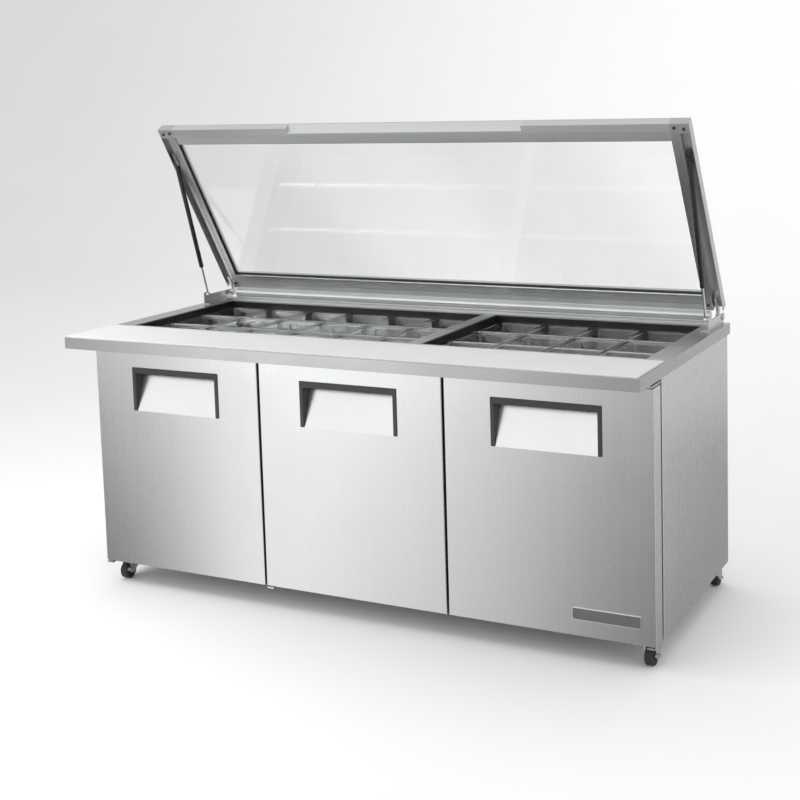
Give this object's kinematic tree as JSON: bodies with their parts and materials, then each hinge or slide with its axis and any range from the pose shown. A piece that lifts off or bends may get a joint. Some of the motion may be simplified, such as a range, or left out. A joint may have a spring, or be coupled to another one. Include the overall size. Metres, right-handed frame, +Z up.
{
  "type": "sandwich prep table",
  "caption": "Refrigerated sandwich prep table: steel cabinet with hinged doors on swivel casters, pan wells and a cutting board under a framed glass lid on gas struts.",
  "frame": {"origin": "on the floor under the middle of the worktop's outline", "axes": "+X to the right of a person at the cutting board, +Y to the back, +Z up"},
  "size_m": [1.845, 0.867, 1.4528],
  "materials": {
    "stainless": "satin",
    "lid_aluminium": "satin",
    "lid_glass": "polished",
    "clear_pan": "gloss",
    "white_board": "matte",
    "well_black": "satin",
    "grip_gray": "matte",
    "gasket": "matte",
    "seal_black": "matte",
    "liner": "satin",
    "zinc_steel": "satin",
    "black_steel": "satin",
    "wheel_rubber": "matte",
    "coil": "satin",
    "shelf_wire": "gloss",
    "galvanised": "satin",
    "plate_dark": "satin",
    "black_screw": "gloss"
  },
  "bodies": {
    "cabinet": {"back_wall": "galvanised", "cabinet_floor": "galvanised", "caster_plates": "zinc_steel", "compressor": "black_steel", "condenser_coil": "coil", "cutting_board": "white_board", "door_hinges": "zinc_steel", "evaporator_coil": "coil", "evaporator_housing": "liner", "front_frame": "stainless", "lid_hinge_cover": "lid_aluminium", "lid_hinge_rail": "lid_aluminium", "lid_side_brackets": "zinc_steel", "pan_bars": "stainless", "pan_wells": "well_black", "pans_left": "clear_pan", "pans_right": "clear_pan", "rear_grille": "galvanised", "shelf_standards": "stainless", "side_wall_left": "stainless", "side_wall_right": "stainless", "wire_shelves": "shelf_wire", "worktop": "stainless"},
    "door_left": {"door_panel_left": "stainless", "door_liner_left": "liner", "door_gasket_left": "gasket", "door_grip_left": "grip_gray"},
    "door_middle": {"door_panel_middle": "stainless", "door_liner_middle": "liner", "door_gasket_middle": "gasket", "door_grip_middle": "grip_gray"},
    "door_right": {"door_panel_right": "stainless", "door_liner_right": "liner", "door_gasket_right": "gasket", "door_grip_right": "grip_gray", "nameplate": "plate_dark"},
    "lid": {"lid_front_rail": "lid_aluminium", "lid_glass": "lid_glass", "lid_hinge_arms": "zinc_steel", "lid_rear_rail": "lid_aluminium", "lid_screws": "black_screw", "lid_seal": "seal_black", "lid_side_rails": "lid_aluminium", "lid_strut_brackets": "zinc_steel"},
    "strut_rod_left": {"strut_rod_left": "zinc_steel"},
    "strut_cylinder_left": {"strut_cylinder_left": "black_steel"},
    "strut_rod_right": {"strut_rod_right": "zinc_steel"},
    "strut_cylinder_right": {"strut_cylinder_right": "black_steel"},
    "caster_fork_front_left": {"caster_fork_front_left": "zinc_steel"},
    "caster_wheel_front_left": {"caster_wheel_front_left": "wheel_rubber"},
    "caster_fork_front_right": {"caster_fork_front_right": "zinc_steel"},
    "caster_wheel_front_right": {"caster_wheel_front_right": "wheel_rubber"},
    "caster_fork_rear_left": {"caster_fork_rear_left": "zinc_steel"},
    "caster_wheel_rear_left": {"caster_wheel_rear_left": "wheel_rubber"},
    "caster_fork_rear_right": {"caster_fork_rear_right": "zinc_steel"},
    "caster_wheel_rear_right": {"caster_wheel_rear_right": "wheel_rubber"},
    "brake_lever_left": {"brake_lever_left": "zinc_steel"},
    "brake_lever_right": {"brake_lever_right": "zinc_steel"},
    "evaporator_fan": {"evaporator_fan": "well_black"},
    "condenser_fan": {"condenser_fan": "well_black"}
  },
  "joints": [
    {"name": "door_left_hinge", "type": "hinge", "parent": "cabinet", "child": "door_left", "pos_m": [-0.902, -0.2945, 0.421], "axis": [0, 0, -1], "range_deg": [0, 90]},
    {"name": "door_middle_hinge", "type": "hinge", "parent": "cabinet", "child": "door_middle", "pos_m": [-0.289, -0.2945, 0.421], "axis": [0, 0, -1], "range_deg": [0, 90]},
    {"name": "door_right_hinge", "type": "hinge", "parent": "cabinet", "child": "door_right", "pos_m": [0.902, -0.2945, 0.421], "axis": [0, 0, 1], "range_deg": [0, 90]},
    {"name": "lid_hinge", "type": "hinge", "parent": "cabinet", "child": "lid", "pos_m": [0, 0.412, 0.842], "axis": [1, 0, 0], "range_deg": [0, 59.5]},
    {"name": "strut_pivot_left", "type": "hinge", "parent": "cabinet", "child": "strut_rod_left", "pos_m": [-0.8935, 0.2665, 0.854], "axis": [1, 0, 0], "range_deg": [0, 75]},
    {"name": "strut_slide_left", "type": "slide", "parent": "strut_rod_left", "child": "strut_cylinder_left", "axis": [0, -0.2959, 0.9552], "range_m": [-0.0755, 0]},
    {"name": "strut_pivot_right", "type": "hinge", "parent": "cabinet", "child": "strut_rod_right", "pos_m": [0.8935, 0.2665, 0.854], "axis": [1, 0, 0], "range_deg": [0, 75]},
    {"name": "strut_slide_right", "type": "slide", "parent": "strut_rod_right", "child": "strut_cylinder_right", "axis": [0, -0.2959, 0.9552], "range_m": [-0.0755, 0]},
    {"name": "caster_swivel_front_left", "type": "hinge", "parent": "cabinet", "child": "caster_fork_front_left", "pos_m": [-0.883, -0.206, 0.057], "axis": [0, 0, 1], "continuous": true},
    {"name": "caster_spin_front_left", "type": "hinge", "parent": "caster_fork_front_left", "child": "caster_wheel_front_left", "pos_m": [-0.883, -0.242, 0.026], "axis": [1, 0, 0], "continuous": true},
    {"name": "caster_swivel_front_right", "type": "hinge", "parent": "cabinet", "child": "caster_fork_front_right", "pos_m": [0.883, -0.206, 0.057], "axis": [0, 0, 1], "continuous": true},
    {"name": "caster_spin_front_right", "type": "hinge", "parent": "caster_fork_front_right", "child": "caster_wheel_front_right", "pos_m": [0.883, -0.242, 0.026], "axis": [1, 0, 0], "continuous": true},
    {"name": "caster_swivel_rear_left", "type": "hinge", "parent": "cabinet", "child": "caster_fork_rear_left", "pos_m": [-0.883, 0.366, 0.057], "axis": [0, 0, 1], "continuous": true},
    {"name": "caster_spin_rear_left", "type": "hinge", "parent": "caster_fork_rear_left", "child": "caster_wheel_rear_left", "pos_m": [-0.883, 0.402, 0.026], "axis": [1, 0, 0], "continuous": true},
    {"name": "caster_swivel_rear_right", "type": "hinge", "parent": "cabinet", "child": "caster_fork_rear_right", "pos_m": [0.883, 0.366, 0.057], "axis": [0, 0, 1], "continuous": true},
    {"name": "caster_spin_rear_right", "type": "hinge", "parent": "caster_fork_rear_right", "child": "caster_wheel_rear_right", "pos_m": [0.883, 0.402, 0.026], "axis": [1, 0, 0], "continuous": true},
    {"name": "brake_left", "type": "hinge", "parent": "caster_fork_front_left", "child": "brake_lever_left", "pos_m": [-0.883, -0.242, 0.026], "axis": [1, 0, 0], "range_deg": [0, 18]},
    {"name": "brake_right", "type": "hinge", "parent": "caster_fork_front_right", "child": "brake_lever_right", "pos_m": [0.883, -0.242, 0.026], "axis": [1, 0, 0], "range_deg": [0, 18]},
    {"name": "evaporator_fan_spin", "type": "hinge", "parent": "cabinet", "child": "evaporator_fan", "pos_m": [0, 0.29, 0.54], "axis": [0, 1, 0], "continuous": true},
    {"name": "condenser_fan_spin", "type": "hinge", "parent": "cabinet", "child": "condenser_fan", "pos_m": [0.15, 0.375, 0.25], "axis": [0, 1, 0], "continuous": true}
  ],
  "couplings": [
    {"joint": "strut_pivot_left", "follows": "lid_hinge", "ratio": 1.2499},
    {"joint": "strut_slide_left", "follows": "lid_hinge", "m_per_rad": -0.072233},
    {"joint": "strut_pivot_right", "follows": "lid_hinge", "ratio": 1.2499},
    {"joint": "strut_slide_right", "follows": "lid_hinge", "m_per_rad": -0.072233}
  ]
}
